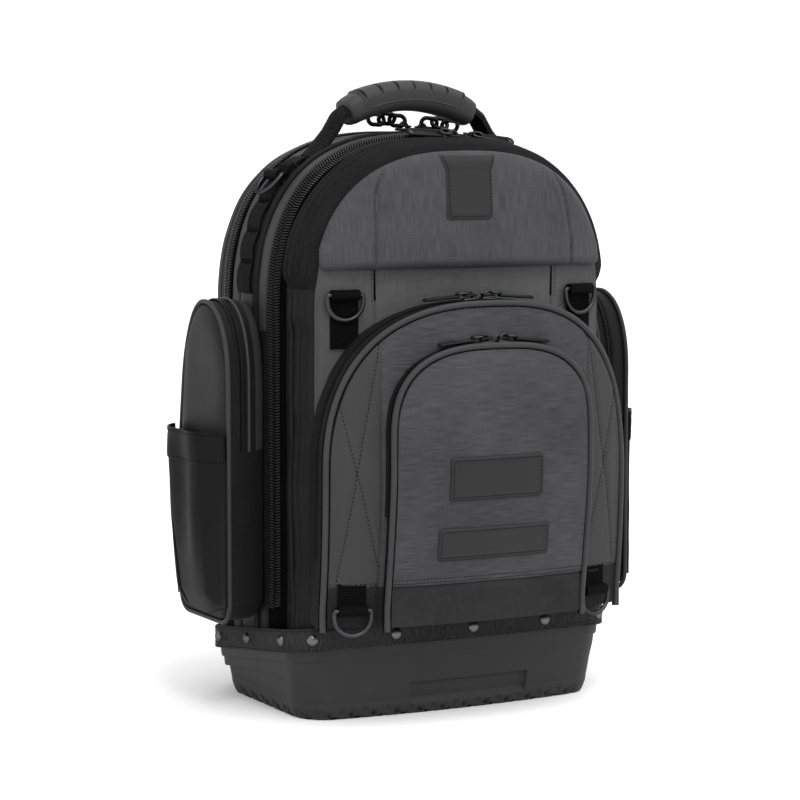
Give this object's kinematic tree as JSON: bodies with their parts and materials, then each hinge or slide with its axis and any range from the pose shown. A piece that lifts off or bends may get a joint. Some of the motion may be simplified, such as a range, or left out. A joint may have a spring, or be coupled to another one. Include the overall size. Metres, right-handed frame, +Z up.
{
  "type": "tool backpack",
  "caption": "Tall structured tool backpack with two arched zip compartments, stacked front pockets, side pockets with open sleeves, a moulded base, hanging D-rings and a rubber grip.",
  "frame": {"origin": "on the floor, under the middle of the bounding box", "axes": "+X to the viewer's right when facing the front, -Y out of the front pockets, +Z up"},
  "size_m": [0.4348, 0.3396, 0.5303],
  "materials": {
    "cloth": "woven",
    "dark_cloth": "woven",
    "rim": "textured",
    "webbing": "woven",
    "piping": "satin",
    "rubber": "matte",
    "leather": "matte",
    "metal": "satin",
    "foam": "matte"
  },
  "bodies": {
    "pack": {"rear_gusset": "cloth", "front_gusset": "rim", "middle_panel": "dark_cloth", "front_panel": "cloth", "hood_panel": "cloth", "hood_tab": "leather", "front_zip": "webbing", "rear_zip": "webbing", "big_pocket_gusset": "dark_cloth", "big_pocket_face": "cloth", "big_pocket_piping": "piping", "small_pocket_gusset": "dark_cloth", "small_pocket_face": "cloth", "small_pocket_toe": "dark_cloth", "small_pocket_piping": "piping", "upper_patch": "leather", "lower_patch": "leather", "base_tray": "rubber", "base_band": "webbing", "handle_grip": "rubber", "back_panel": "foam", "side_webbing_left": "webbing", "handle_strap_left": "webbing", "side_pocket_left": "dark_cloth", "side_piping_left": "piping", "sleeve_left": "dark_cloth", "shoulder_strap_left": "foam", "strap_buckle_left": "metal", "lower_webbing_left": "webbing", "side_webbing_right": "webbing", "handle_strap_right": "webbing", "side_pocket_right": "dark_cloth", "side_piping_right": "piping", "sleeve_right": "dark_cloth", "shoulder_strap_right": "foam", "strap_buckle_right": "metal", "lower_webbing_right": "webbing", "upper_tab_left": "webbing", "lower_tab_left": "webbing", "side_tab_left": "webbing", "upper_tab_right": "webbing", "lower_tab_right": "webbing", "side_tab_right": "webbing", "front_zip_pull_left": "metal", "front_zip_pull_right": "metal", "rear_zip_pull_left": "metal", "rear_zip_pull_right": "metal", "big_pocket_pull_left": "metal", "big_pocket_pull_right": "metal", "small_pocket_pull_left": "metal", "small_pocket_pull_right": "metal"},
    "upper_ring_left": {"upper_ring_left": "metal"},
    "lower_ring_left": {"lower_ring_left": "metal"},
    "side_ring_left": {"side_ring_left": "metal"},
    "upper_ring_right": {"upper_ring_right": "metal"},
    "lower_ring_right": {"lower_ring_right": "metal"},
    "side_ring_right": {"side_ring_right": "metal"}
  },
  "joints": [
    {"name": "upper_ring_left_hinge", "type": "hinge", "parent": "pack", "child": "upper_ring_left", "pos_m": [-0.112, -0.11032, 0.354], "axis": [-0.9917, 0.1284, 0], "range_deg": [0, 150]},
    {"name": "lower_ring_left_hinge", "type": "hinge", "parent": "pack", "child": "lower_ring_left", "pos_m": [-0.115, -0.13921, 0.099], "axis": [-0.9767, 0.2147, 0], "range_deg": [0, 150]},
    {"name": "side_ring_left_hinge", "type": "hinge", "parent": "pack", "child": "side_ring_left", "pos_m": [-0.12459, -0.00247, 0.45121], "axis": [0, 1, 0], "range_deg": [0, 120]},
    {"name": "upper_ring_right_hinge", "type": "hinge", "parent": "pack", "child": "upper_ring_right", "pos_m": [0.112, -0.11032, 0.354], "axis": [-0.9917, -0.1284, 0], "range_deg": [0, 150]},
    {"name": "lower_ring_right_hinge", "type": "hinge", "parent": "pack", "child": "lower_ring_right", "pos_m": [0.115, -0.13921, 0.099], "axis": [-0.9767, -0.2147, 0], "range_deg": [0, 150]},
    {"name": "side_ring_right_hinge", "type": "hinge", "parent": "pack", "child": "side_ring_right", "pos_m": [0.12459, -0.00247, 0.45121], "axis": [0, -1, 0], "range_deg": [0, 120]}
  ]
}
